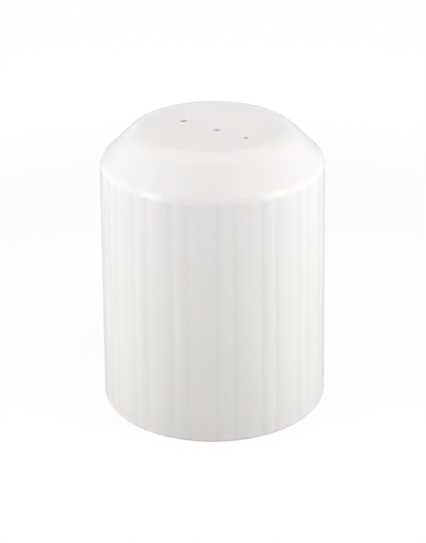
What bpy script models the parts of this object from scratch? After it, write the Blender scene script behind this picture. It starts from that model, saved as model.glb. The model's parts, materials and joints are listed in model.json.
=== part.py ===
"""Salt shaker: a fluted porcelain body, filled through its base, and the soft stopper of its fill hole.

Metres, +Z up. The origin is the middle of the foot's resting plane, and -Y is the front.
A profile is a list of (radius, height) points, carried round the Z axis.
"""

import math

import bmesh
import bpy
from mathutils import Matrix, Vector
from mathutils.geometry import intersect_line_line

MM = 0.001

# Outside of the body, as if its corners were sharp: the diameter is the wall's at the shoulder
HEIGHT = 72.0 * MM
BODY_DIAMETER = 55.0 * MM
FOOT_FLARE = 1.0 * MM
SHOULDER_RUN = 8.5 * MM
SHOULDER_RISE = 8.5 * MM

# Roundings of those corners
FOOT_ROUND = 0.7 * MM
SHOULDER_ROUND = 4.0 * MM
TOP_ROUND = 6.4 * MM

# Flutes: each repeat is a narrow rib and a wide panel, both crowned, with a groove on either side of the rib
RIB_COUNT = 17
RIB_ANGLE = math.radians(7.4)
RIB_TURN = math.radians(5.5)
GROOVE_DEPTH = 0.18 * MM

# Thickness of the porcelain, and the inside corners of the salt chamber
WALL = 4.0 * MM
CROWN = 4.5 * MM
FLOOR = 4.5 * MM
CHAMBER_TOP_ROUND = 3.0 * MM
CHAMBER_FLOOR_ROUND = 5.0 * MM

# Foot ring round the recess under the floor, just tall enough to keep the stopper off the table
FOOT_RING_WIDTH = 4.6 * MM
TABLE_CLEARANCE = 0.9 * MM
RECESS_DRAFT = 0.5 * MM
RECESS_ROUND = 1.2 * MM

# Row of pour holes, punched by hand: its middle, its direction, and each hole's place along it
POUR_HOLE_DIAMETER = 2.0 * MM
POUR_HOLE_FLARE = 0.5 * MM
POUR_ROW_MIDDLE = (0.5 * MM, -2.1 * MM)
POUR_ROW_TURN = math.radians(-38.8)
POUR_HOLE_PLACES = (-9.5 * MM, 0.8 * MM, 9.5 * MM)

# Fill hole and the play round the stopper
FILL_HOLE_DIAMETER = 18.0 * MM
FILL_HOLE_ROUND = 0.5 * MM
PLUG_CLEARANCE = 0.3 * MM
SEAT_CLEARANCE = 0.3 * MM

# Stopper
FLANGE_LAP = 3.5 * MM
FLANGE_THICKNESS = 2.0 * MM
FLANGE_ROUND = 0.6 * MM
DISH_DIAMETER = 17.0 * MM
DISH_DEPTH = 0.7 * MM
WEB_THICKNESS = 1.4 * MM
PLUG_REACH = 3.5 * MM
PLUG_WALL = 1.6 * MM
PLUG_TIP_ROUND = 0.6 * MM
GRIPPING_BARBS = 2
BARB_PROUD = 0.5 * MM
BARB_LAND = 0.5 * MM
BARB_LENGTH = 1.7 * MM
LOCK_CLEARANCE = 0.4 * MM
GRIP_LENGTH = 12.0 * MM
GRIP_WIDTH = 2.2 * MM
GRIP_PROUD = 0.8 * MM

# Sizes that follow from those above
SHOULDER_RADIUS = BODY_DIAMETER / 2
SHOULDER_HEIGHT = HEIGHT - SHOULDER_RISE
FOOT_RADIUS = SHOULDER_RADIUS + FOOT_FLARE
TOP_RADIUS = SHOULDER_RADIUS - SHOULDER_RUN
FILL_HOLE_RADIUS = FILL_HOLE_DIAMETER / 2
FLANGE_BOTTOM = -SEAT_CLEARANCE - FLANGE_THICKNESS
FOOT_RING_HEIGHT = TABLE_CLEARANCE + GRIP_PROUD - FLANGE_BOTTOM
FLOOR_TOP = FOOT_RING_HEIGHT + FLOOR

# Fineness of the meshes, and how far a cutter runs past the face that it opens
RIB_STEPS = 4
PANEL_STEPS = 6
EDGE_ROUND = 2.0 * MM
EDGE_STEPS = 2
ARC_STEPS = 6
TURN_STEPS = 54
HOLE_STEPS = 16
OVERRUN = 2.0 * MM


def rounded_path(corners):
    """Points along (radius, height, rounding) corners, with an arc in place of each rounded corner.

    A small rounding is an edge, and gets fewer points than a broad one.
    """
    points = [Vector(corner[:2]) for corner in corners]
    path = [points[0]]
    for before, corner, after, (_, _, rounding) in zip(points, points[1:], points[2:], corners[1:]):
        arriving = (corner - before).normalized()
        leaving = (after - corner).normalized()
        turn = arriving.angle_signed(leaving)
        if rounding == 0.0:
            path.append(corner)
            continue
        start = corner - arriving * rounding * math.tan(abs(turn) / 2)
        to_centre = arriving.orthogonal() * math.copysign(rounding, -turn)
        steps = EDGE_STEPS if rounding < EDGE_ROUND else ARC_STEPS
        for step in range(steps + 1):
            spoke = Matrix.Rotation(-turn * step / steps, 2) @ -to_centre
            path.append(start + to_centre + spoke)
    path.append(points[-1])
    return path


def inset(start, end, distance):
    """The line from start to end, moved square to itself towards its left-hand side."""
    sideways = (end - start).normalized().orthogonal() * distance
    return start + sideways, end + sideways


def crossing(line, other):
    """The (radius, height) point where two lines cross."""
    ends = [point.to_3d() for point in (*line, *other)]
    return intersect_line_line(*ends)[0].to_2d()


def outside_corners():
    """The body's sharp outside corners, from the foot up to the axis."""
    foot = Vector((FOOT_RADIUS, 0.0))
    shoulder = Vector((SHOULDER_RADIUS, SHOULDER_HEIGHT))
    brim = Vector((TOP_RADIUS, HEIGHT))
    return foot, shoulder, brim, Vector((0.0, HEIGHT))


def wall_radius(height):
    """Radius of the flutes' crests: a straight taper from the foot to the shoulder, and on above it."""
    return FOOT_RADIUS + (SHOULDER_RADIUS - FOOT_RADIUS) * height / SHOULDER_HEIGHT


def flute_section():
    """(angle, depth) all round: between two grooves the surface rises as a parabola to the middle."""
    repeat = 2 * math.pi / RIB_COUNT
    first_rib = RIB_TURN - math.pi / 2
    section = []
    for index in range(RIB_COUNT):
        rib_middle = first_rib + index * repeat
        panel_middle = rib_middle + repeat / 2
        crowns = ((rib_middle, RIB_ANGLE, RIB_STEPS), (panel_middle, repeat - RIB_ANGLE, PANEL_STEPS))
        for middle, width, steps in crowns:
            for step in range(steps):
                across = 2 * step / steps - 1
                section.append((middle + across * width / 2, GROOVE_DEPTH * across ** 2))
    return section


def loft(rings):
    """A closed bmesh through rings of points that run anticlockwise, from the lowest ring to the highest."""
    bm = bmesh.new()
    loops = [[bm.verts.new(point) for point in ring] for ring in rings]
    for lower, upper in zip(loops, loops[1:]):
        for index, corner in enumerate(lower):
            after = (index + 1) % len(lower)
            bm.faces.new((corner, lower[after], upper[after], upper[index]))
    bm.faces.new(reversed(loops[0]))
    bm.faces.new(loops[-1])
    return bm


def turn(profile, steps):
    """A closed bmesh: the profile spun once round the Z axis, its seam and its points on the axis merged."""
    bm = bmesh.new()
    points = [bm.verts.new((point.x, 0.0, point.y)) for point in profile]
    edges = [bm.edges.new(pair) for pair in zip(points, points[1:])]
    bmesh.ops.spin(bm, geom=points + edges, axis=(0, 0, 1), cent=(0, 0, 0), angle=2 * math.pi, steps=steps)
    bmesh.ops.remove_doubles(bm, verts=bm.verts, dist=0.001 * MM)
    bmesh.ops.recalc_face_normals(bm, faces=bm.faces)
    return bm


def add_object(name, bm, parent):
    """A smooth-shaded object under its parent, with edges of more than 35 degrees kept sharp."""
    mesh = bpy.data.meshes.new(name)
    bm.to_mesh(mesh)
    bm.free()
    mesh.shade_smooth()
    mesh.set_sharp_from_angle(angle=math.radians(35))
    obj = bpy.data.objects.new(name, mesh)
    bpy.context.collection.objects.link(obj)
    obj.parent = parent
    return obj


def add_empty(name, height):
    empty = bpy.data.objects.new(name, None)
    bpy.context.collection.objects.link(empty)
    empty.location.z = height
    return empty


def add_boolean(target, tool, operation):
    """Cuts the tool from the target, or joins it on, and leaves the tool as a wire guide."""
    tool.hide_render = True
    tool.display_type = "WIRE"
    modifier = target.modifiers.new(tool.name, "BOOLEAN")
    modifier.operation = operation
    modifier.solver = "EXACT"
    modifier.object = tool


def add_material(obj, name, colour, roughness):
    material = bpy.data.materials.new(name)
    material.use_nodes = True
    shader = material.node_tree.nodes["Principled BSDF"]
    shader.inputs["Base Color"].default_value = (*colour, 1.0)
    shader.inputs["Roughness"].default_value = roughness
    shader.inputs["Metallic"].default_value = 0.0
    obj.data.materials.append(material)


def fluted_outside():
    """The body's outside: a turned profile kept within the fluted section.

    Each groove so runs out where the roundings of the shoulder and the foot draw in under its depth.
    """
    foot, shoulder, brim, crown = outside_corners()
    profile = rounded_path([
        (0.0, 0.0, 0.0),
        (*foot, FOOT_ROUND),
        (*shoulder, SHOULDER_ROUND),
        (*brim, TOP_ROUND),
        (*crown, 0.0),
    ])
    section = flute_section()
    rings = []
    for radius, height in profile[1:-1]:
        limits = [(angle, min(radius, wall_radius(height) - depth)) for angle, depth in section]
        rings.append([(r * math.cos(angle), r * math.sin(angle), height) for angle, r in limits])
    return loft(rings)


def inside_profile():
    """The salt chamber, the fill hole and the recess under the floor, as one profile from the top down."""
    foot, shoulder, brim, crown = outside_corners()
    wall_line = inset(foot, shoulder, WALL)
    shoulder_line = inset(shoulder, brim, WALL)
    crown_line = inset(brim, crown, CROWN)
    floor_line = (Vector((0.0, FLOOR_TOP)), Vector((FOOT_RADIUS, FLOOR_TOP)))
    recess_radius = FOOT_RADIUS - FOOT_RING_WIDTH
    flare = FOOT_ROUND + OVERRUN
    return rounded_path([
        (0.0, HEIGHT - CROWN, 0.0),
        (*crossing(crown_line, shoulder_line), CHAMBER_TOP_ROUND),
        (*crossing(shoulder_line, wall_line), CHAMBER_TOP_ROUND),
        (*crossing(wall_line, floor_line), CHAMBER_FLOOR_ROUND),
        (FILL_HOLE_RADIUS, FLOOR_TOP, FILL_HOLE_ROUND),
        (FILL_HOLE_RADIUS, FOOT_RING_HEIGHT, FILL_HOLE_ROUND),
        (recess_radius - RECESS_DRAFT, FOOT_RING_HEIGHT, RECESS_ROUND),
        (recess_radius, FOOT_ROUND, 0.0),
        (recess_radius + flare, FOOT_ROUND - flare, 0.0),
        (0.0, FOOT_ROUND - flare, 0.0),
    ])


def pour_hole_profile():
    """A straight hole from the chamber through the crown, with its mouth flared at 45 degrees."""
    radius = POUR_HOLE_DIAMETER / 2
    flare = POUR_HOLE_FLARE + OVERRUN
    corners = [
        (0.0, HEIGHT - POUR_HOLE_FLARE + flare),
        (radius + flare, HEIGHT - POUR_HOLE_FLARE + flare),
        (radius, HEIGHT - POUR_HOLE_FLARE),
        (radius, HEIGHT - CROWN - OVERRUN),
        (0.0, HEIGHT - CROWN - OVERRUN),
    ]
    return [Vector(corner) for corner in corners]


def make_body(parent):
    body = add_object("porcelain_body", fluted_outside(), parent)
    add_material(body, "white_glaze", (0.86, 0.85, 0.83), 0.12)
    add_boolean(body, add_object("inside_cutter", turn(inside_profile(), TURN_STEPS), parent), "DIFFERENCE")
    along_row = Vector((math.cos(POUR_ROW_TURN), math.sin(POUR_ROW_TURN)))
    for index, place in enumerate(POUR_HOLE_PLACES, start=1):
        cutter = add_object(f"pour_hole_cutter_{index}", turn(pour_hole_profile(), HOLE_STEPS), parent)
        cutter.location.xy = Vector(POUR_ROW_MIDDLE) + along_row * place
        add_boolean(body, cutter, "DIFFERENCE")


def stopper_profile():
    """The stopper, measured from the floor's underside: hollow barbed plug, flange, and dish in the flange.

    Even barbs grip the fill hole, and one more locks just above the floor. Each tapers towards the tip.
    """
    barb_radius = FILL_HOLE_RADIUS - PLUG_CLEARANCE
    core_radius = barb_radius - BARB_PROUD
    hollow_radius = core_radius - PLUG_WALL
    flange_radius = FILL_HOLE_RADIUS + FLANGE_LAP
    dish_top = FLANGE_BOTTOM + DISH_DEPTH
    plug_top = FLOOR + PLUG_REACH
    spacing = FLOOR / GRIPPING_BARBS
    barb_feet = [(index + 1) * spacing - BARB_LENGTH for index in range(GRIPPING_BARBS)]
    barb_feet.append(FLOOR + LOCK_CLEARANCE)
    corners = [
        (0.0, dish_top + WEB_THICKNESS, 0.0),
        (hollow_radius, dish_top + WEB_THICKNESS, 0.0),
        (hollow_radius, plug_top, PLUG_TIP_ROUND),
        (core_radius, plug_top, PLUG_TIP_ROUND),
    ]
    for barb_foot in reversed(barb_feet):
        corners += [
            (core_radius, barb_foot + BARB_LENGTH, 0.0),
            (barb_radius, barb_foot + BARB_LAND, 0.0),
            (barb_radius, barb_foot, 0.0),
            (core_radius, barb_foot, 0.0),
        ]
    corners += [
        (core_radius, -SEAT_CLEARANCE, 0.0),
        (flange_radius, -SEAT_CLEARANCE, FLANGE_ROUND),
        (flange_radius, FLANGE_BOTTOM, FLANGE_ROUND),
        (DISH_DIAMETER / 2 + DISH_DEPTH, FLANGE_BOTTOM, 0.0),
        (DISH_DIAMETER / 2, dish_top, 0.0),
        (0.0, dish_top, 0.0),
    ]
    return rounded_path(corners)


def grip_bar():
    """The round-ended bar across the dish, for a finger and thumb to pull, sunk into the web to join it."""
    bar_top = FLANGE_BOTTOM + DISH_DEPTH + WEB_THICKNESS / 2
    end_radius = GRIP_WIDTH / 2
    end_offset = GRIP_LENGTH / 2 - end_radius
    outline = []
    for side in (1, -1):
        for step in range(ARC_STEPS + 1):
            angle = math.pi * (step / ARC_STEPS - 0.5)
            spoke = Vector((math.cos(angle), math.sin(angle))) * end_radius
            outline.append((spoke + Vector((end_offset, 0.0))) * side)
    heights = (FLANGE_BOTTOM - GRIP_PROUD, bar_top)
    return loft([[(point.x, point.y, height) for point in outline] for height in heights])


def make_stopper(parent):
    stopper = add_object("base_stopper", turn(stopper_profile(), TURN_STEPS), parent)
    add_material(stopper, "soft_silicone", (0.72, 0.71, 0.68), 0.5)
    add_boolean(stopper, add_object("grip_bar_shape", grip_bar(), parent), "UNION")


def main():
    for obj in list(bpy.data.objects):
        bpy.data.objects.remove(obj)
    make_body(add_empty("shaker_origin", 0.0))
    make_stopper(add_empty("stopper_seat", FOOT_RING_HEIGHT))


main()
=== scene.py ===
"""Looks of the salt shaker: its glazed porcelain body and the soft stopper in its base.

Metres, +Z up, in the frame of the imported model: the foot stands on z = 0, and -Y is the front.
Each piece is a surface worked out with numpy. A profile is an array of (radius, height) points that
keeps the material on its left, so that the faces made from it point outwards.
"""

import json
import math

import bpy
import numpy as np
from mathutils import Euler, Matrix, Vector
from mathutils.geometry import delaunay_2d_cdt

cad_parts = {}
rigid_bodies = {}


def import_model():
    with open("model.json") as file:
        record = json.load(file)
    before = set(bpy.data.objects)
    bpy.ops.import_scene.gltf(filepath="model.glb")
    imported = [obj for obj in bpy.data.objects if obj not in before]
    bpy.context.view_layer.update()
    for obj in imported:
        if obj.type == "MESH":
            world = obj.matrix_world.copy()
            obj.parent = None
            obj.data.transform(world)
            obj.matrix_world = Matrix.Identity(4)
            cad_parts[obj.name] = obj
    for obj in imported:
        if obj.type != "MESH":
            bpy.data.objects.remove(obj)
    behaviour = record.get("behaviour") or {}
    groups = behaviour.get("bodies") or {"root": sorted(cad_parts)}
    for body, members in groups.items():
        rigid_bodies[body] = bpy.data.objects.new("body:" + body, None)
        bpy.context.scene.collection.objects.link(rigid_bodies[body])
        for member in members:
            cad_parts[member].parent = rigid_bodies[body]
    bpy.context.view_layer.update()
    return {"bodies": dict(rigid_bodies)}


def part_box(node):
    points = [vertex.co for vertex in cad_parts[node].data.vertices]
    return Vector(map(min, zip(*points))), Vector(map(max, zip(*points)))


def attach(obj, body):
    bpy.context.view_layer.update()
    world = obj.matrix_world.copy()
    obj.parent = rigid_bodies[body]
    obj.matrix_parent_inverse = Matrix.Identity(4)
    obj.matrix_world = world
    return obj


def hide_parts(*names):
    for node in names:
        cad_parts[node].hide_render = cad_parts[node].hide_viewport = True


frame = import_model()

MM = 0.001

# Outside of the body, as if its corners were sharp, and the roundings of those corners
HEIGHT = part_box("porcelain_body")[1].z
SHOULDER_RADIUS = 27.5 * MM
FOOT_RADIUS = 28.475 * MM
SHOULDER_RISE = 8.5 * MM
SHOULDER_RUN = 8.5 * MM
SHOULDER_HEIGHT = HEIGHT - SHOULDER_RISE
TOP_RADIUS = SHOULDER_RADIUS - SHOULDER_RUN
FOOT_ROUND = 0.7 * MM
SHOULDER_BEVEL = 0.9 * MM
SHOULDER_ROUND = 1.8 * MM
TOP_ROUND = 6.4 * MM

# Flutes: a narrow rib and a wide panel to each repeat, both crowned, with a soft groove between them
RIB_COUNT = 16
RIB_ANGLE = math.radians(7.3)
RIB_TURN = math.radians(5.8)
GROOVE_DEPTH = 0.135 * MM
GROOVE_BLEND = 0.12 * MM
RUN_OUT_SOFTNESS = 0.06 * MM

# Thickness of the porcelain, its chamber and its foot ring
WALL = 4.0 * MM
CROWN = 4.5 * MM
FLOOR = 4.5 * MM
CHAMBER_TOP_ROUND = 3.0 * MM
CHAMBER_FLOOR_ROUND = 5.0 * MM
FOOT_RING_WIDTH = 4.6 * MM
FOOT_RING_HEIGHT = 4.0 * MM
RECESS_DRAFT = 0.5 * MM
RECESS_ROUND = 1.2 * MM
FILL_HOLE_RADIUS = 9.0 * MM
FILL_HOLE_ROUND = 0.5 * MM

# Row of pour holes, each with a wide soft mouth that the glaze has rounded
POUR_HOLE_RADII = (0.92 * MM, 0.85 * MM, 0.72 * MM)
POUR_MOUTH_REACH = 0.45 * MM
POUR_MOUTH_DROP = 0.3 * MM
POUR_HOLE_INNER_ROUND = 0.3 * MM
POUR_ROW_MIDDLE = (0.5 * MM, -2.1 * MM)
POUR_ROW_TURN = math.radians(-38.8)
POUR_HOLE_PLACES = (-9.5 * MM, 0.8 * MM, 9.5 * MM)

# Stopper, with its heights measured from the underside of the porcelain floor
PLUG_CLEARANCE = 0.3 * MM
SEAT_CLEARANCE = 0.3 * MM
FLANGE_LAP = 3.5 * MM
FLANGE_THICKNESS = 2.0 * MM
FLANGE_ROUND = 0.6 * MM
DISH_RADIUS = 8.5 * MM
DISH_DEPTH = 0.7 * MM
WEB_THICKNESS = 1.4 * MM
PLUG_REACH = 3.5 * MM
PLUG_WALL = 1.6 * MM
PLUG_TIP_ROUND = 0.6 * MM
GRIPPING_BARBS = 2
BARB_PROUD = 0.5 * MM
BARB_LAND = 0.5 * MM
BARB_LENGTH = 1.7 * MM
LOCK_CLEARANCE = 0.4 * MM
GRIP_LENGTH = 12.0 * MM
GRIP_WIDTH = 2.2 * MM
GRIP_PROUD = 0.8 * MM
MOULD_EDGE = 0.12 * MM

# Fineness of the meshes
FLUTE_COLUMNS = 48
TURN_COLUMNS = 144
HOLE_COLUMNS = 64
RUN_STEPS = 6
ARC_STEP = 0.15 * MM
ARC_STEPS = (4, 24)
FLAT_MARGIN = 0.15 * MM


def rounded_profile(corners):
    """Points along a run of (radius, height, rounding) corners.

    A corner is an arc, tangent to the two straight runs that meet there. A run is cut by a cosine
    spacing, close together next to the arcs, so that the shading of an arc stays on the arc.
    """
    corners = np.array(corners)
    points, roundings = corners[:, :2], corners[1:-1, 2]
    runs = np.diff(points, axis=0)
    ahead = runs / np.linalg.norm(runs, axis=1)[:, None]
    aside = np.stack([-ahead[:, 1], ahead[:, 0]], axis=1)
    turns = np.arctan2((aside[:-1] * ahead[1:]).sum(1), (ahead[:-1] * ahead[1:]).sum(1))
    setbacks = np.concatenate([[0.0], roundings * np.tan(np.abs(turns) / 2), [0.0]])
    starts = points[:-1] + ahead * setbacks[:-1, None]
    ends = points[1:] - ahead * setbacks[1:, None]
    along = (1 - np.cos(np.linspace(0, math.pi, RUN_STEPS + 1))) / 2
    path = [starts[0] + along[:, None] * (ends[0] - starts[0])]
    for index, (rounding, turn) in enumerate(zip(roundings, turns)):
        steps = int(np.clip(abs(turn) * rounding / ARC_STEP, *ARC_STEPS))
        swept = turn * np.arange(1, steps)[:, None] / steps
        radius = math.copysign(rounding, turn)
        arc = np.sin(swept) * ahead[index] + (1 - np.cos(swept)) * aside[index]
        path.append(ends[index] + radius * arc)
        path.append(starts[index + 1] + along[:, None] * (ends[index + 1] - starts[index + 1]))
    return np.concatenate(path)


def turned(profile, columns):
    """The profile carried round the Z axis: rows follow the profile, and columns go round it."""
    angles = 2 * math.pi * np.arange(columns) / columns
    rings = profile[:, 0, None] * np.stack([np.cos(angles), np.sin(angles)])[:, None]
    heights = np.broadcast_to(profile[:, 1, None], rings[0].shape)
    return np.stack([rings[0], rings[1], heights], axis=-1)


def soft_positive(depth, softness):
    """The larger of zero and depth, its corner rounded: the mean of depth and root(depth² + softness²)."""
    return (depth + np.sqrt(depth ** 2 + softness ** 2)) / 2


def flute_depth(angles):
    """Depth of the flutes below their crests on the wall, at angles round the body.

    Rib and panel are parabolas across their own widths, each as deep as the groove at its edges. The
    surface follows the shallower of the two. Where they differ by less than the blend, it loses the square
    of what is left of the blend, over four times the blend, which softens the corner as the glaze does.
    """
    repeat = 2 * math.pi / RIB_COUNT
    from_rib = (angles - RIB_TURN + math.pi / 2 + repeat / 2) % repeat - repeat / 2
    from_panel = repeat / 2 - np.abs(from_rib)
    rib = GROOVE_DEPTH * (2 * from_rib / RIB_ANGLE) ** 2
    panel = GROOVE_DEPTH * (2 * from_panel / (repeat - RIB_ANGLE)) ** 2
    overlap = np.maximum(GROOVE_BLEND - np.abs(rib - panel), 0.0)
    return np.minimum(rib, panel) - overlap ** 2 / (4 * GROOVE_BLEND)


def fluted(profile):
    """The profile carried round the Z axis and cut by the flutes, with each vertex's flute depth.

    The flutes run straight up the wall's taper. Where a rounding draws the profile in from that taper, a
    groove only cuts what is left of its depth, and a hyperbola softens the arch in which it runs out. The
    reach is the depth before softening, so that the cut on the straight wall is the flute's own depth.
    """
    columns = RIB_COUNT * FLUTE_COLUMNS
    angles = 2 * math.pi * np.arange(columns) / columns
    radii, heights = profile[:, 0, None], profile[:, 1, None]
    taper = FOOT_RADIUS + (SHOULDER_RADIUS - FOOT_RADIUS) * heights / SHOULDER_HEIGHT
    drawn_in = np.maximum(taper - radii, 0.0)
    depth = flute_depth(angles)[None]
    half = RUN_OUT_SOFTNESS / 2
    reach = depth + half - half ** 2 / (depth + half)
    cut = soft_positive(reach - drawn_in, RUN_OUT_SOFTNESS) - soft_positive(-drawn_in, RUN_OUT_SOFTNESS)
    grid = turned(profile, columns)
    grid[..., :2] *= ((radii - cut) / radii)[..., None]
    return grid, cut


def carried(outline, outward, profile, middle):
    """A profile of (offset, height) carried along a closed outline, square to it, about a middle point."""
    places = outline[None] + outward[None] * profile[:, 0, None, None] + np.array(middle)
    heights = np.broadcast_to(profile[:, 1, None, None], (*places.shape[:2], 1))
    return np.concatenate([places, heights], axis=-1)


class Surface:
    """Points and faces of one piece, gathered from grids and from the flat faces between their rims."""

    def __init__(self):
        self.points = []
        self.faces = []
        self.count = 0

    def add_grid(self, grid):
        """Adds rows of closed rings as quads, and returns the indices of their points."""
        rows, columns = grid.shape[:2]
        index = self.count + np.arange(rows * columns).reshape(rows, columns)
        after = np.roll(index, -1, axis=1)
        quads = np.stack([index[:-1], after[:-1], after[1:], index[1:]], axis=-1)
        self.points.append(grid.reshape(-1, 3))
        self.faces.append(quads.reshape(-1, 4))
        self.count += rows * columns
        return index

    def add_flat(self, rims, facing_up):
        """Adds the level face inside the first rim and outside the others, as Delaunay triangles."""
        chosen = np.concatenate(rims)
        places = np.concatenate(self.points)[chosen, :2] / MM
        lengths = np.array([len(rim) for rim in rims])
        ends = np.cumsum(lengths)
        loops = [np.arange(start, end) for start, end in zip(ends - lengths, ends)]
        edges = np.concatenate([np.stack([loop, np.roll(loop, -1)], axis=1) for loop in loops])
        result = delaunay_2d_cdt(places.tolist(), edges.tolist(), [], 1, 0.0)
        corners = np.array(result[2])
        rim_of = np.searchsorted(ends, corners, side="right")
        in_hole = (rim_of == rim_of[:, :1]).all(axis=1) & (rim_of[:, 0] > 0)
        triangles = chosen[corners[~in_hole]]
        self.faces.append(triangles if facing_up else triangles[:, ::-1])

    def make_object(self, name, material):
        """A smooth-shaded mesh object at the origin, filled with foreach_set."""
        points = np.concatenate(self.points)
        sizes = np.concatenate([np.full(len(faces), faces.shape[1]) for faces in self.faces])
        corners = np.concatenate([faces.ravel() for faces in self.faces])
        mesh = bpy.data.meshes.new(name)
        mesh.vertices.add(len(points))
        mesh.vertices.foreach_set("co", points.astype(np.float32).ravel())
        mesh.loops.add(len(corners))
        mesh.loops.foreach_set("vertex_index", corners.astype(np.int32))
        mesh.polygons.add(len(sizes))
        mesh.polygons.foreach_set("loop_start", (np.cumsum(sizes) - sizes).astype(np.int32))
        mesh.update(calc_edges=True)
        mesh.validate()
        mesh.shade_smooth()
        mesh.materials.append(material)
        obj = bpy.data.objects.new(name, mesh)
        bpy.context.scene.collection.objects.link(obj)
        return obj


def circle(radius, columns):
    """A circle of points, anticlockwise, and the outward direction at each."""
    angles = 2 * math.pi * np.arange(columns) / columns
    outward = np.stack([np.cos(angles), np.sin(angles)], axis=1)
    return radius * outward, outward


def stadium(length, width, columns):
    """A round-ended bar's outline about the origin: half circles at both ends, joined by straight sides."""
    angles = 2 * math.pi * (np.arange(columns) + 0.5) / columns
    outward = np.stack([np.cos(angles), np.sin(angles)], axis=1)
    ends = np.sign(outward[:, :1]) * np.array([[length - width, 0.0]]) / 2
    return outward * width / 2 + ends, outward


def outside_profile():
    """Body from the flat of the foot ring, up the wall and over the shoulder, to the flat of the top.

    A narrow bevel takes off the corner between the wall and the shoulder's slope, set back by the same
    length along both.
    """
    taper = (FOOT_RADIUS - SHOULDER_RADIUS) / SHOULDER_HEIGHT
    rise = SHOULDER_BEVEL / math.sqrt(2)
    return rounded_profile([
        (FOOT_RADIUS - FOOT_ROUND - FLAT_MARGIN, 0.0, 0.0),
        (FOOT_RADIUS, 0.0, FOOT_ROUND),
        (SHOULDER_RADIUS + taper * SHOULDER_BEVEL, SHOULDER_HEIGHT - SHOULDER_BEVEL, SHOULDER_ROUND),
        (SHOULDER_RADIUS - rise, SHOULDER_HEIGHT + rise, SHOULDER_ROUND),
        (TOP_RADIUS, HEIGHT, TOP_ROUND),
        (TOP_RADIUS - TOP_ROUND * math.tan(math.pi / 8) - FLAT_MARGIN, HEIGHT, 0.0),
    ])


def inside_profile():
    """Body from the chamber's ceiling, down and across its floor, through the fill hole, to the foot ring."""
    taper = (FOOT_RADIUS - SHOULDER_RADIUS) / SHOULDER_HEIGHT
    slope_inset = WALL * math.sqrt(2)
    wall_top = SHOULDER_RADIUS - WALL
    ceiling = HEIGHT - CROWN
    slope_top = TOP_RADIUS + HEIGHT - slope_inset - ceiling
    slope_foot = TOP_RADIUS + HEIGHT - slope_inset - wall_top
    floor_top = FOOT_RING_HEIGHT + FLOOR
    recess = FOOT_RADIUS - FOOT_RING_WIDTH
    margin = CHAMBER_TOP_ROUND * math.tan(math.pi / 8) + FLAT_MARGIN
    return rounded_profile([
        (slope_top - margin, ceiling, 0.0),
        (slope_top, ceiling, CHAMBER_TOP_ROUND),
        (wall_top + taper * (SHOULDER_HEIGHT - slope_foot), slope_foot, CHAMBER_TOP_ROUND),
        (wall_top + taper * (SHOULDER_HEIGHT - floor_top), floor_top, CHAMBER_FLOOR_ROUND),
        (FILL_HOLE_RADIUS, floor_top, FILL_HOLE_ROUND),
        (FILL_HOLE_RADIUS, FOOT_RING_HEIGHT, FILL_HOLE_ROUND),
        (recess - RECESS_DRAFT, FOOT_RING_HEIGHT, RECESS_ROUND),
        (recess, 0.0, FOOT_ROUND),
        (recess + FOOT_ROUND + FLAT_MARGIN, 0.0, 0.0),
    ])


def pour_hole_profile():
    """Pour hole from the flat of the top to the ceiling, as offsets from its straight part.

    The mouth is a quarter ellipse that falls from level, at its reach, to upright, at the hole's wall.
    """
    lean = np.linspace(math.pi / 2, 0, ARC_STEPS[1])
    mouth = np.stack([POUR_MOUTH_REACH * (1 - np.cos(lean)), POUR_MOUTH_DROP * (np.sin(lean) - 1)], axis=1)
    mouth[:, 1] += HEIGHT
    margin = [[POUR_MOUTH_REACH + FLAT_MARGIN, HEIGHT]]
    bore = rounded_profile([
        (0.0, HEIGHT - POUR_MOUTH_DROP, 0.0),
        (0.0, HEIGHT - CROWN, POUR_HOLE_INNER_ROUND),
        (POUR_HOLE_INNER_ROUND + FLAT_MARGIN, HEIGHT - CROWN, 0.0),
    ])
    return np.concatenate([margin, mouth, bore[1:]])


def make_body(material):
    """The porcelain: fluted outside, turned inside, and pour holes between the top and the ceiling.

    Two attributes go to its material: one that darkens the grooves, for pooled glaze and painted shade,
    which is the cut of the flutes over the groove's depth, and pour_hole, the depth in a hole's mouth over
    the mouth's drop, up to 1.
    """
    surface = Surface()
    outside_grid, cut = fluted(outside_profile())
    outside = surface.add_grid(outside_grid)
    inside = surface.add_grid(turned(inside_profile(), TURN_COLUMNS))
    along_row = np.array([math.cos(POUR_ROW_TURN), math.sin(POUR_ROW_TURN)])
    hole_profile = pour_hole_profile()
    holes = []
    for place, radius in zip(POUR_HOLE_PLACES, POUR_HOLE_RADII):
        middle = POUR_ROW_MIDDLE + along_row * place
        holes.append(surface.add_grid(carried(*circle(radius, HOLE_COLUMNS), hole_profile, middle)))
    surface.add_flat([outside[-1], *(hole[0] for hole in holes)], facing_up=True)
    surface.add_flat([inside[0], *(hole[-1] for hole in holes)], facing_up=False)
    surface.add_flat([outside[0], inside[-1]], facing_up=False)
    body = surface.make_object("glazed_body", material)
    # Groove darkening for the material: partly pooled glaze, partly painted shade.
    pool_and_shade_values = np.zeros(surface.count, np.float32)
    pool_and_shade_values[outside.ravel()] = cut.ravel() / GROOVE_DEPTH
    body.data.attributes.new("pool_and_groove_shade", "FLOAT", "POINT").data.foreach_set("value", pool_and_shade_values)
    in_hole = np.zeros(surface.count, np.float32)
    for hole in holes:
        in_hole[hole] = np.clip((HEIGHT - hole_profile[:, 1, None]) / POUR_MOUTH_DROP, 0.0, 1.0)
    body.data.attributes.new("pour_hole", "FLOAT", "POINT").data.foreach_set("value", in_hole)
    return body


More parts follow.
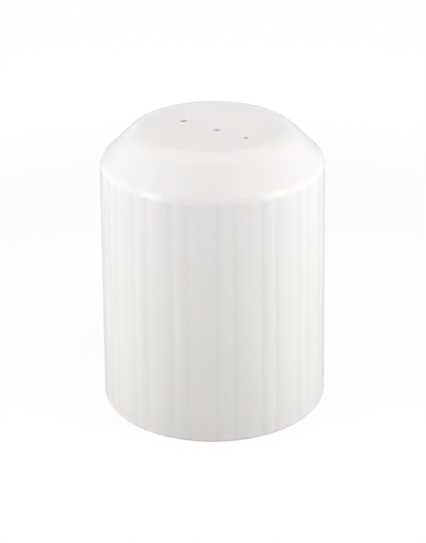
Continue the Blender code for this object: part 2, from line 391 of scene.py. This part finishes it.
def stopper_profile():
    """Stopper from the dish under it, round its flange, up the barbed plug, and down into its hollow."""
    barb_radius = FILL_HOLE_RADIUS - PLUG_CLEARANCE
    core_radius = barb_radius - BARB_PROUD
    hollow_radius = core_radius - PLUG_WALL
    flange_radius = FILL_HOLE_RADIUS + FLANGE_LAP
    flange_bottom = -SEAT_CLEARANCE - FLANGE_THICKNESS
    dish_top = flange_bottom + DISH_DEPTH
    plug_top = FLOOR + PLUG_REACH
    spacing = FLOOR / GRIPPING_BARBS
    barb_feet = [(index + 1) * spacing - BARB_LENGTH for index in range(GRIPPING_BARBS)]
    corners = [
        (DISH_RADIUS - 2 * DISH_DEPTH, dish_top, 0.0),
        (DISH_RADIUS, dish_top, DISH_DEPTH),
        (DISH_RADIUS + DISH_DEPTH, flange_bottom, MOULD_EDGE),
        (flange_radius, flange_bottom, FLANGE_ROUND),
        (flange_radius, -SEAT_CLEARANCE, FLANGE_ROUND),
        (core_radius, -SEAT_CLEARANCE, MOULD_EDGE),
    ]
    for barb_foot in [*barb_feet, FLOOR + LOCK_CLEARANCE]:
        corners += [
            (core_radius, barb_foot, MOULD_EDGE),
            (barb_radius, barb_foot, MOULD_EDGE),
            (barb_radius, barb_foot + BARB_LAND, MOULD_EDGE),
            (core_radius, barb_foot + BARB_LENGTH, MOULD_EDGE),
        ]
    corners += [
        (core_radius, plug_top, PLUG_TIP_ROUND),
        (hollow_radius, plug_top, PLUG_TIP_ROUND),
        (hollow_radius, dish_top + WEB_THICKNESS, PLUG_TIP_ROUND),
        (hollow_radius - 2 * PLUG_TIP_ROUND, dish_top + WEB_THICKNESS, 0.0),
    ]
    return rounded_profile(corners) + [0.0, FOOT_RING_HEIGHT]


def grip_profile():
    """Grip bar from its level face, round its edge and up its side, out to the floor of the dish."""
    bar_bottom = FOOT_RING_HEIGHT - SEAT_CLEARANCE - FLANGE_THICKNESS - GRIP_PROUD
    bar_round = GRIP_WIDTH / 4
    return rounded_profile([
        (-GRIP_WIDTH / 3, bar_bottom, 0.0),
        (0.0, bar_bottom, bar_round),
        (0.0, bar_bottom + GRIP_PROUD + DISH_DEPTH, bar_round / 2),
        (bar_round, bar_bottom + GRIP_PROUD + DISH_DEPTH, 0.0),
    ])


def make_stopper(material):
    """The stopper: a turned profile, and the grip bar across the dish under it."""
    surface = Surface()
    turned_part = surface.add_grid(turned(stopper_profile(), TURN_COLUMNS))
    outline, outward = stadium(GRIP_LENGTH, GRIP_WIDTH, HOLE_COLUMNS)
    bar = surface.add_grid(carried(outline, outward, grip_profile(), (0.0, 0.0)))
    surface.add_flat([bar[0]], facing_up=False)
    surface.add_flat([turned_part[0], bar[-1]], facing_up=False)
    surface.add_flat([turned_part[-1]], facing_up=True)
    return surface.make_object("silicone_stopper", material)


class Nodes:
    """A node tree with one call to add a node, set its values and link its inputs."""

    def __init__(self, tree):
        self.tree = tree

    def add(self, kind, inputs=None, **settings):
        """A new node of a kind, with its inputs fed and its settings made."""
        node = self.tree.nodes.new("ShaderNode" + kind)
        for name, value in settings.items():
            setattr(node, name, value)
        for name, value in (inputs or {}).items():
            self.feed(value, node.inputs[name])
        return node

    def feed(self, value, socket):
        """Links another node's socket to an input, or sets the input to a plain value."""
        if isinstance(value, bpy.types.NodeSocket):
            self.tree.links.new(value, socket)
        else:
            socket.default_value = value

    def math(self, operation, first, second):
        """The result of a Math node's operation on two values."""
        return self.add("Math", {0: first, 1: second}, operation=operation).outputs[0]

    def ramp(self, value, start, end, low=0.0, high=1.0):
        """A value that eases from low, where the given one is at start, to high, where it is at end."""
        inputs = {"Value": value, "From Min": start, "From Max": end, "To Min": low, "To Max": high}
        return self.add("MapRange", inputs, interpolation_type="SMOOTHSTEP").outputs["Result"]

    def blend(self, factor, first, second):
        """A colour between two others. The Mix node's colour sockets come after those of its other types."""
        return self.add("Mix", {0: factor, 6: first, 7: second}, data_type="RGBA").outputs[2]

    def group(self, tree, **inputs):
        """A node group's outputs, with its inputs given by name."""
        return self.add("Group", inputs, node_tree=tree).outputs


def new_group(name, inputs, output):
    """An empty shader node group with float inputs beside its Vector, and its nodes, inputs and output."""
    tree = bpy.data.node_groups.new(name, "ShaderNodeTree")
    tree.interface.new_socket("Vector", in_out="INPUT", socket_type="NodeSocketVector")
    for label in inputs:
        tree.interface.new_socket(label, in_out="INPUT", socket_type="NodeSocketFloat")
    tree.interface.new_socket(output, in_out="OUTPUT", socket_type="NodeSocketFloat")
    given = tree.nodes.new("NodeGroupInput").outputs
    result = tree.nodes.new("NodeGroupOutput").inputs[0]
    return tree, Nodes(tree), given, result


# Shared textures: what the fine noise adds to the broad one, and the solid middle of a speck
FINE_RATIO = 4.3
BROAD_SHARE = 0.7
FINE_SHARE = 0.3
SPECK_MIDDLE = 0.4


def make_clouds_group():
    """Cloudy unevenness from 0 to 1: broad noise at the given scale, with finer noise on it."""
    tree, nodes, given, result = new_group("clouds", ["Scale"], "Cloud")
    broad = nodes.add("TexNoise", {"Vector": given["Vector"], "Scale": given["Scale"], "Detail": 1.0})
    fine_scale = nodes.math("MULTIPLY", given["Scale"], FINE_RATIO)
    fine = nodes.add("TexNoise", {"Vector": given["Vector"], "Scale": fine_scale, "Detail": 2.0})
    broad_part = nodes.math("MULTIPLY", broad.outputs["Fac"], BROAD_SHARE)
    fine_part = nodes.math("MULTIPLY", fine.outputs["Fac"], FINE_SHARE)
    nodes.feed(nodes.math("ADD", broad_part, fine_part), result)
    return tree


def make_specks_group():
    """A mask of small round specks: balls of the given size about scattered points, cut by the surface."""
    tree, nodes, given, result = new_group("specks", ["Scale", "Size"], "Speck")
    cells = nodes.add("TexVoronoi", {"Vector": given["Vector"], "Scale": given["Scale"]})
    middle = nodes.math("MULTIPLY", given["Size"], SPECK_MIDDLE)
    nodes.feed(nodes.ramp(cells.outputs["Distance"], given["Size"], middle), result)
    return tree


def new_material(name):
    """A material with an empty node tree, and its nodes."""
    material = bpy.data.materials.new(name)
    material.use_nodes = True
    material.node_tree.nodes.clear()
    return material, Nodes(material.node_tree)


# Colours of the porcelain
GLAZE_HIGH = (0.884, 0.855, 0.836, 1.0)
# Painted shade: the glaze turns a little darker and warmer towards the bottom
GLAZE_LOW_PAINTED_SHADE = (0.877, 0.849, 0.808, 1.0)
GLAZE_CLOUD = (0.869, 0.841, 0.816, 1.0)
# Darker in the grooves: partly glaze that pools there, partly painted shade
GLAZE_POOL_AND_SHADE = (0.800, 0.786, 0.762, 1.0)
# Painted light: paler just above the foot, to lift the shade that falls there
FOOT_PAINTED_LIGHT = (0.908, 0.880, 0.856, 1.0)
# Pour holes: a warm painted shade, and a painted glow for light that comes through the porcelain
HOLE_WARM_SHADE = (0.840, 0.765, 0.710, 1.0)
HOLE_GLOW = (1.000, 0.870, 0.790, 1.0)
NO_GLOW = (0.0, 0.0, 0.0, 1.0)
IRON_SPECK = (0.560, 0.460, 0.400, 1.0)
BARE_CLAY = (0.900, 0.850, 0.790, 1.0)
FLASHED_CLAY = (0.980, 0.760, 0.730, 1.0)

# Scales of the porcelain's textures, and the size of its specks in their cells
CLOUD_SCALE = 70.0
WAVE_SCALE = 160.0
SPECK_SCALE = 240.0
SPECK_SIZE = 0.04

# Where the porcelain's colours and finish change: a pair is where a change starts and ends, as a height above
# the table, a level of a texture or of an attribute, or a depth below the top. GLOW_FADE and GLAZE_ROUGHNESS
# are the values at those two ends.
HEIGHT_BLEND = (0.1 * HEIGHT, 0.9 * HEIGHT)
CLOUD_BLEND = (0.35, 0.75)
# Groove darkening: partly pooled glaze, partly painted shade
POOL_AND_SHADE_BLEND = (0.3, 0.85)
POOL_AND_SHADE_STRENGTH = 0.32
# Pour holes: where the warm painted shade comes in
HOLE_SHADE_BLEND = (0.05, 0.6)
# Painted light just above the foot
FOOT_LIGHT_LINE = (3.0 * MM, 0.8 * MM)
GLAZE_LINE = (0.75 * MM, 0.40 * MM)
LINE_WANDER = 0.6 * MM
FLASH_LINE = (0.02 * MM, 0.12 * MM)
GLOW_DEPTH = (0.25 * MM, 0.9 * MM)
GLOW_FADE = (1.0, 0.2)
GLOW_STRENGTH = 0.13
GLAZE_WAVE = 0.03 * MM
GLAZE_ROUGHNESS_BLEND = (0.3, 0.8)
GLAZE_ROUGHNESS = (0.06, 0.11)
CLAY_ROUGHNESS = 0.55


def make_porcelain(clouds, specks):
    """White glaze over porcelain: cloudy, with iron specks. Painted shade makes it a little darker and
    warmer towards the bottom, and darker in the grooves, where the glaze also pools. Painted light makes
    it paler just above the foot.

    The foot is bare clay, which the kiln has flashed pink next to the glaze. The pour holes are painted a
    warm shade, and given a faint painted glow for light that comes through the porcelain.
    """
    material, nodes = new_material("white_glaze")
    place = nodes.add("TexCoord").outputs["Object"]
    height = nodes.add("SeparateXYZ", {0: place}).outputs["Z"]
    cloud = nodes.group(clouds, Vector=place, Scale=CLOUD_SCALE)["Cloud"]
    wave = nodes.group(clouds, Vector=place, Scale=WAVE_SCALE)["Cloud"]
    speck = nodes.group(specks, Vector=place, Scale=SPECK_SCALE, Size=SPECK_SIZE)["Speck"]
    pool_and_shade = nodes.add("Attribute", attribute_name="pool_and_groove_shade").outputs["Fac"]
    hole = nodes.add("Attribute", attribute_name="pour_hole").outputs["Fac"]
    wander = nodes.math("MULTIPLY", nodes.math("SUBTRACT", wave, 0.5), LINE_WANDER)
    line = nodes.math("SUBTRACT", height, wander)
    bare = nodes.ramp(line, *GLAZE_LINE)
    # Painted shade: a little darker and warmer towards the bottom of the wall.
    colour = nodes.blend(nodes.ramp(height, *HEIGHT_BLEND), GLAZE_LOW_PAINTED_SHADE, GLAZE_HIGH)
    colour = nodes.blend(nodes.ramp(cloud, *CLOUD_BLEND), colour, GLAZE_CLOUD)
    # Painted light just above the foot, to lift the shade that falls there.
    colour = nodes.blend(nodes.ramp(line, *FOOT_LIGHT_LINE), colour, FOOT_PAINTED_LIGHT)
    # Grooves darker: partly glaze that pools there, partly painted shade.
    colour = nodes.blend(nodes.ramp(pool_and_shade, *POOL_AND_SHADE_BLEND, 0.0, POOL_AND_SHADE_STRENGTH), colour, GLAZE_POOL_AND_SHADE)
    # Warm painted shade in the pour holes.
    colour = nodes.blend(nodes.ramp(hole, *HOLE_SHADE_BLEND), colour, HOLE_WARM_SHADE)
    colour = nodes.blend(speck, colour, IRON_SPECK)
    clay = nodes.blend(nodes.ramp(height, *FLASH_LINE), BARE_CLAY, FLASHED_CLAY)
    colour = nodes.blend(bare, colour, clay)
    glaze_roughness = nodes.ramp(cloud, *GLAZE_ROUGHNESS_BLEND, *GLAZE_ROUGHNESS)
    roughness = nodes.math("ADD", glaze_roughness, nodes.math("MULTIPLY", bare, CLAY_ROUGHNESS))
    depth = nodes.math("SUBTRACT", HEIGHT, height)
    # Painted glow in the pour holes, for light that comes through the porcelain.
    glow = nodes.math("MULTIPLY", hole, nodes.ramp(depth, *GLOW_DEPTH, *GLOW_FADE))
    bump = nodes.add("Bump", {"Strength": 1.0, "Distance": GLAZE_WAVE, "Height": wave})
    shader = nodes.add("BsdfPrincipled", {
        "Base Color": colour,
        "Roughness": roughness,
        "Normal": bump.outputs[0],
        "IOR": 1.45,
        "Subsurface Weight": 0.15,
        "Subsurface Radius": (1.0, 0.8, 0.6),
        "Subsurface Scale": 1.0 * MM,
        "Emission Color": nodes.blend(glow, NO_GLOW, HOLE_GLOW),
        "Emission Strength": GLOW_STRENGTH,
    })
    nodes.add("OutputMaterial", {"Surface": shader.outputs[0]})
    return material


# Colours and finish of the stopper, with its textures' scales and where they change it
SILICONE = (0.730, 0.720, 0.690, 1.0)
SILICONE_CLOUD = (0.680, 0.665, 0.625, 1.0)
SALT_DUST = (0.880, 0.880, 0.870, 1.0)
SILICONE_CLOUD_SCALE = 220.0
SILICONE_CLOUD_BLEND = (0.35, 0.7)
SILICONE_GRAIN_SCALE = 2600.0
SILICONE_GRAIN = 0.012 * MM
SILICONE_ROUGHNESS_BLEND = (0.3, 0.75)
SILICONE_ROUGHNESS = (0.42, 0.56)
DUST_SCALE = 700.0
DUST_SIZE = 0.09
DUST_STRENGTH = 0.7


def make_silicone(clouds, specks):
    """Soft matt silicone: milky, finely grained by its mould, with a little salt dust clinging to it."""
    material, nodes = new_material("soft_silicone")
    place = nodes.add("TexCoord").outputs["Object"]
    cloud = nodes.group(clouds, Vector=place, Scale=SILICONE_CLOUD_SCALE)["Cloud"]
    grain = nodes.group(clouds, Vector=place, Scale=SILICONE_GRAIN_SCALE)["Cloud"]
    dust = nodes.group(specks, Vector=place, Scale=DUST_SCALE, Size=DUST_SIZE)["Speck"]
    colour = nodes.blend(nodes.ramp(cloud, *SILICONE_CLOUD_BLEND), SILICONE, SILICONE_CLOUD)
    colour = nodes.blend(nodes.math("MULTIPLY", dust, DUST_STRENGTH), colour, SALT_DUST)
    roughness = nodes.ramp(cloud, *SILICONE_ROUGHNESS_BLEND, *SILICONE_ROUGHNESS)
    bump = nodes.add("Bump", {"Strength": 1.0, "Distance": SILICONE_GRAIN, "Height": grain})
    shader = nodes.add("BsdfPrincipled", {
        "Base Color": colour,
        "Roughness": roughness,
        "Normal": bump.outputs[0],
        "IOR": 1.41,
        "Subsurface Weight": 0.25,
        "Subsurface Radius": (1.0, 0.9, 0.7),
        "Subsurface Scale": 1.5 * MM,
    })
    nodes.add("OutputMaterial", {"Surface": shader.outputs[0]})
    return material


# Camera of the photograph, with its lens and sensor in millimetres
CAMERA_PITCH = math.radians(25.8193)
CAMERA_DISTANCE = 409.659 * MM
CAMERA_AIM = Vector((-0.1396, 0.0, 32.8294)) * MM
CAMERA_ROLL = math.radians(-0.52)
CAMERA_LENS = 107.752
SENSOR = 36.0


def make_camera():
    """The camera, pitched down at a point in the object and rolled a little about its line of sight."""
    data = bpy.data.cameras.new("camera")
    data.lens = CAMERA_LENS
    data.sensor_width = SENSOR
    camera = bpy.data.objects.new("camera", data)
    bpy.context.scene.collection.objects.link(camera)
    tilt = Euler((math.pi / 2 - CAMERA_PITCH, 0.0, 0.0)).to_matrix()
    turn = tilt @ Matrix.Rotation(CAMERA_ROLL, 3, "Z")
    camera.location = CAMERA_AIM + tilt.col[2] * CAMERA_DISTANCE
    camera.rotation_euler = turn.to_euler()
    bpy.context.scene.camera = camera


# Surround: its strength as light on the object, and as the glaze mirrors it behind and at the front. The
# front is a dim opening, whose edge lies between two frontward parts of a direction.
WHITE = (1.0, 1.0, 1.0, 1.0)
AMBIENT = 0.621
MIRRORED = (0.7, 0.2)
OPENING_EDGE = (0.28, 0.42)

# Floor: its albedo for light that bounces up, near the object and far from it. Near the object it glows less
# than white, and a diffuse share makes up for that and takes the shadow. Reaches are distances from its
# middle.
FLOOR_SIZE = 8.0
FLOOR_BOUNCE = (0.38, 0.6)
BOUNCE_REACH = (0.03, 0.18)
FLOOR_GLOW = 0.80
FLOOR_SHADE = 0.22
FLOOR_MIRRORED = 0.7
SHADOW_REACH = (0.30, 0.06)


def ray_kinds(nodes):
    """Masks for rays from the camera, for glossy and transmission rays, and for the rest."""
    path = nodes.add("LightPath").outputs
    camera = path["Is Camera Ray"]
    mirrored = nodes.math("MAXIMUM", path["Is Glossy Ray"], path["Is Transmission Ray"])
    rest = nodes.math("SUBTRACT", nodes.math("SUBTRACT", 1.0, camera), mirrored)
    return camera, mirrored, rest


def make_world():
    """A white surround. The glaze mirrors it with a dim opening round the front, where the camera stands."""
    world = bpy.data.worlds.new("studio")
    world.use_nodes = True
    world.node_tree.nodes.clear()
    nodes = Nodes(world.node_tree)
    camera, mirrored, rest = ray_kinds(nodes)
    direction = nodes.add("TexCoord").outputs["Generated"]
    frontward = nodes.math("MULTIPLY", nodes.add("SeparateXYZ", {0: direction}).outputs["Y"], -1.0)
    reflection = nodes.math("MULTIPLY", mirrored, nodes.ramp(frontward, *OPENING_EDGE, *MIRRORED))
    seen = nodes.math("ADD", camera, reflection)
    strength = nodes.math("ADD", seen, nodes.math("MULTIPLY", rest, AMBIENT))
    background = nodes.add("Background", {"Color": WHITE, "Strength": strength})
    nodes.add("OutputWorld", {"Surface": background.outputs[0]})
    bpy.context.scene.world = world


def make_floor():
    """A pale floor: white where it is seen, apart from a faint shadow near the object.

    It rides with the stopper, so that a stopper drawn out of the base comes to stand on it under the body.
    """
    material, nodes = new_material("pale_floor")
    camera, mirrored, rest = ray_kinds(nodes)
    place = nodes.add("TexCoord").outputs["Object"]
    distance = nodes.add("VectorMath", {0: place}, operation="LENGTH").outputs["Value"]
    near = nodes.ramp(distance, *SHADOW_REACH)
    seen = nodes.math("ADD", camera, nodes.math("MULTIPLY", mirrored, FLOOR_MIRRORED))
    shade = nodes.math("MULTIPLY", nodes.math("MULTIPLY", near, FLOOR_SHADE), seen)
    bounce = nodes.ramp(distance, *BOUNCE_REACH, *FLOOR_BOUNCE)
    albedo = nodes.math("ADD", nodes.math("MULTIPLY", rest, bounce), shade)
    glow = nodes.math("MULTIPLY", nodes.ramp(near, 0.0, 1.0, 1.0, FLOOR_GLOW), seen)
    diffuse = nodes.add("BsdfDiffuse", {"Color": albedo})
    emission = nodes.add("Emission", {"Color": WHITE, "Strength": glow})
    both = nodes.add("AddShader", {0: diffuse.outputs[0], 1: emission.outputs[0]})
    nodes.add("OutputMaterial", {"Surface": both.outputs[0]})
    half = FLOOR_SIZE / 2
    mesh = bpy.data.meshes.new("floor")
    corners = [(-half, -half, 0.0), (half, -half, 0.0), (half, half, 0.0), (-half, half, 0.0)]
    mesh.from_pydata(corners, [], [(0, 1, 2, 3)])
    mesh.materials.append(material)
    floor = bpy.data.objects.new("floor", mesh)
    bpy.context.scene.collection.objects.link(floor)
    floor.parent = frame["bodies"]["stopper"]


# Upright panels beside the object, each with its side, its reach in Y and in Z, and its radiance. The fill
# panels light the object but aren't mirrored in it, and the glaze mirrors the highlight panels alone. The two
# kinds stand at different distances, because panels in one plane hide each other.
FILL_X = 0.40
HIGHLIGHT_X = 0.38
SIDE_COLOUR = (0.940, 0.972, 1.0)
FILL_PANELS = {
    "fill_left_front": (-1, (-0.28, -0.03), (0.0, 0.30), 4.3),
    "fill_left": (-1, (-0.03, 0.16), (0.0, 0.16), 1.1),
    "fill_right_front": (1, (-0.28, -0.03), (0.0, 0.30), 4.75),
    "fill_right": (1, (-0.03, 0.16), (0.0, 0.16), 0.7),
}
HIGHLIGHT_PANELS = {
    "highlight_left": (-1, (-0.30, -0.12), (0.10, 0.38), 2.85),
    "highlight_left_middle": (-1, (-0.12, -0.05), (0.17, 0.38), 1.9),
    "highlight_left_back": (-1, (-0.05, 0.12), (0.14, 0.26), 0.3),
    "highlight_left_high": (-1, (-0.05, 0.25), (0.40, 0.85), 0.4),
    "highlight_right": (1, (-0.30, -0.11), (0.10, 0.36), 3.0),
    "highlight_right_middle": (1, (-0.11, -0.05), (0.16, 0.36), 1.6),
    "highlight_right_back": (1, (-0.05, 0.12), (0.14, 0.26), 0.8),
}

# Panels above, facing down, and one behind, facing forwards, each with its middle, its size and its radiance
OVERHEAD_COLOUR = (1.0, 1.0, 1.0)
OVERHEAD_FILL = ((0.0, 0.03, 0.62), (0.60, 0.30), 0.51)
OVERHEAD_HIGHLIGHT = ((0.0, 0.20, 0.60), (0.60, 0.50), 1.15)
BACK_HIGHLIGHT = ((0.0, 0.90, 0.66), (0.80, 1.08), 0.42)


def make_panel(name, place, turn, size, radiance, colour, mirrored):
    """A panel of even light, either mirrored or not. Its power follows from its radiance and its area."""
    data = bpy.data.lights.new(name, "AREA")
    data.shape = "RECTANGLE"
    data.size, data.size_y = size
    data.energy = radiance * math.pi * size[0] * size[1]
    data.color = colour
    light = bpy.data.objects.new(name, data)
    bpy.context.scene.collection.objects.link(light)
    light.location = place
    light.rotation_euler = turn
    light.visible_camera = False
    light.visible_glossy = mirrored
    light.visible_diffuse = not mirrored


def make_lights():
    """The panels at the sides, above and behind."""
    for panels, distance, mirrored in ((FILL_PANELS, FILL_X, False), (HIGHLIGHT_PANELS, HIGHLIGHT_X, True)):
        for name, (side, along, up, radiance) in panels.items():
            place = (side * distance, sum(along) / 2, sum(up) / 2)
            size = (along[1] - along[0], up[1] - up[0])
            turn = (math.pi / 2, 0.0, side * math.pi / 2)
            make_panel(name, place, turn, size, radiance, SIDE_COLOUR, mirrored)
    facing_down = (0.0, 0.0, 0.0)
    facing_forwards = (math.pi / 2, 0.0, math.pi)
    for name, turn, (place, size, radiance), mirrored in (
        ("overhead_fill", facing_down, OVERHEAD_FILL, False),
        ("overhead_highlight", facing_down, OVERHEAD_HIGHLIGHT, True),
        ("back_highlight", facing_forwards, BACK_HIGHLIGHT, True),
    ):
        make_panel(name, place, turn, size, radiance, OVERHEAD_COLOUR, mirrored)


def main():
    bpy.context.scene.view_settings.view_transform = "Standard"
    make_camera()
    make_world()
    make_floor()
    make_lights()
    clouds = make_clouds_group()
    specks = make_specks_group()
    body = make_body(make_porcelain(clouds, specks))
    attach(body, "shaker")
    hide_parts("porcelain_body")
    stopper = make_stopper(make_silicone(clouds, specks))
    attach(stopper, "stopper")
    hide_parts("base_stopper")


main()
